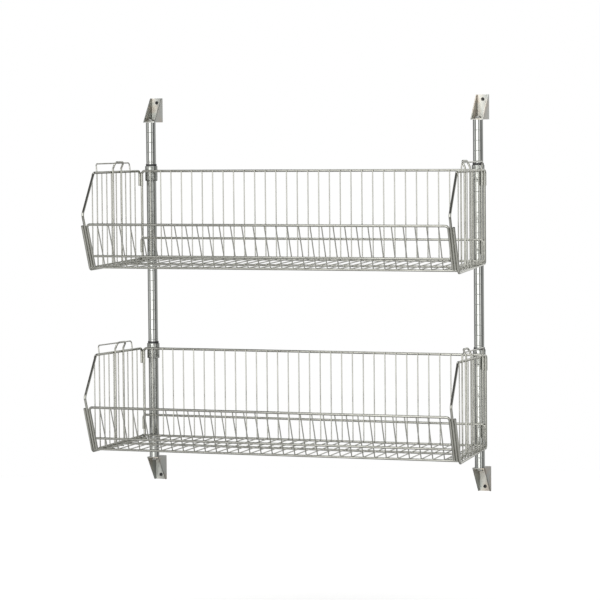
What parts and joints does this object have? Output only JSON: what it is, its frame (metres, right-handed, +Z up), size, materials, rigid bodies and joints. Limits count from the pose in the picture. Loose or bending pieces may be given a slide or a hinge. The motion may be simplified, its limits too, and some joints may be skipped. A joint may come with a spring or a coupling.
{
  "type": "wall-mounted wire basket unit",
  "caption": "Long wire baskets with sloping open fronts, hung by tapered collars on split sleeves round grooved wall posts.",
  "frame": {"origin": "on the wall, midway between the posts' axes and midway up the posts", "axes": "+X to the right along the wall, +Y into the wall, +Z up; the baskets stand out towards -Y"},
  "size_m": [0.9868, 0.3692, 0.9882],
  "materials": {
    "bright_wire": "bright plated steel wire",
    "bright_tube": "bright plated steel tube",
    "zinc_sheet": "zinc plated folded sheet",
    "zinc_bolt": "zinc plated bolt",
    "black_plastic": "moulded black plastic"
  },
  "bodies": {
    "wall_frame": {"post_left": "bright_tube", "post_right": "bright_tube", "plug_top_left": "zinc_bolt", "plug_top_right": "zinc_bolt", "plug_bottom_left": "zinc_bolt", "plug_bottom_right": "zinc_bolt", "bracket_top_left": "zinc_sheet", "bracket_top_right": "zinc_sheet", "bracket_bottom_left": "zinc_sheet", "bracket_bottom_right": "zinc_sheet", "bolt_top_left": "zinc_bolt", "bolt_top_right": "zinc_bolt", "bolt_bottom_left": "zinc_bolt", "bolt_bottom_right": "zinc_bolt", "upper_sleeve_left_front": "black_plastic", "upper_sleeve_left_back": "black_plastic", "upper_sleeve_right_front": "black_plastic", "upper_sleeve_right_back": "black_plastic", "lower_sleeve_left_front": "black_plastic", "lower_sleeve_left_back": "black_plastic", "lower_sleeve_right_front": "black_plastic", "lower_sleeve_right_back": "black_plastic"},
    "upper_basket": {"upper_rim_wire": "bright_wire", "upper_lip_wire": "bright_wire", "upper_back_rail": "bright_wire", "upper_back_foot_wire": "bright_wire", "upper_front_rail": "bright_wire", "upper_front_foot_wire": "bright_wire", "upper_wire_mat": "bright_wire", "upper_end_panel_left": "bright_wire", "upper_end_panel_right": "bright_wire", "upper_side_wire_left": "bright_wire", "upper_side_wire_right": "bright_wire", "upper_handle_left": "bright_wire", "upper_handle_right": "bright_wire", "upper_collar_left": "bright_tube", "upper_collar_right": "bright_tube"},
    "lower_basket": {"lower_rim_wire": "bright_wire", "lower_lip_wire": "bright_wire", "lower_back_rail": "bright_wire", "lower_back_foot_wire": "bright_wire", "lower_front_rail": "bright_wire", "lower_front_foot_wire": "bright_wire", "lower_wire_mat": "bright_wire", "lower_end_panel_left": "bright_wire", "lower_end_panel_right": "bright_wire", "lower_side_wire_left": "bright_wire", "lower_side_wire_right": "bright_wire", "lower_handle_left": "bright_wire", "lower_handle_right": "bright_wire", "lower_collar_left": "bright_tube", "lower_collar_right": "bright_tube"}
  },
  "joints": [
    {"name": "upper_basket_lift", "type": "slide", "parent": "wall_frame", "child": "upper_basket", "axis": [0, 0, 1], "range_m": [0, 0.1]},
    {"name": "lower_basket_lift", "type": "slide", "parent": "wall_frame", "child": "lower_basket", "axis": [0, 0, 1], "range_m": [0, 0.15]}
  ]
}
